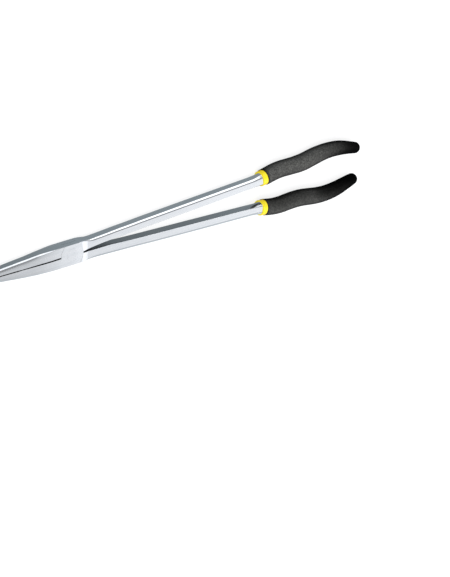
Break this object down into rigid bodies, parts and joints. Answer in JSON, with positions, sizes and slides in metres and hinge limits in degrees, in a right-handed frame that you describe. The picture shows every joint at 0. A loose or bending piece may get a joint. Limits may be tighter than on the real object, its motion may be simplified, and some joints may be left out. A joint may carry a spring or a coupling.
{
  "type": "long-reach needle-nose pliers",
  "caption": "Long-reach needle-nose pliers with slim tapering jaws, a lap joint, long rectangular shanks and dark contoured grips with yellow collars.",
  "frame": {"origin": "on the pivot axis at the flat underside of the joint, with the tool lying on its back and the jaws closed", "axes": "+Z along the pivot axis, up through the joint; +X along the tool from the jaws to the handles; +Y towards the upper handle"},
  "size_m": [0.4066, 0.047, 0.0136],
  "materials": {
    "steel": "satin nickel-chrome plate over a forged and ground body",
    "rivet_steel": "ground flush and plated with the joint",
    "inner_sleeve": "smooth hard plastic, hidden under the grip",
    "collar": "smooth semi-gloss moulded plastic",
    "grip": "matte, fine pebbled texture"
  },
  "bodies": {
    "rear": {"rear_half": "steel", "pivot_rivet": "rivet_steel", "lower_inner_sleeve": "inner_sleeve", "lower_collar": "collar", "lower_grip": "grip"},
    "front": {"front_half": "steel", "upper_inner_sleeve": "inner_sleeve", "upper_collar": "collar", "upper_grip": "grip"}
  },
  "joints": [
    {"name": "pivot", "type": "hinge", "parent": "rear", "child": "front", "pos_m": [0, 0, 0.005], "axis": [0, 0, 1], "range_deg": [0, 30]}
  ]
}
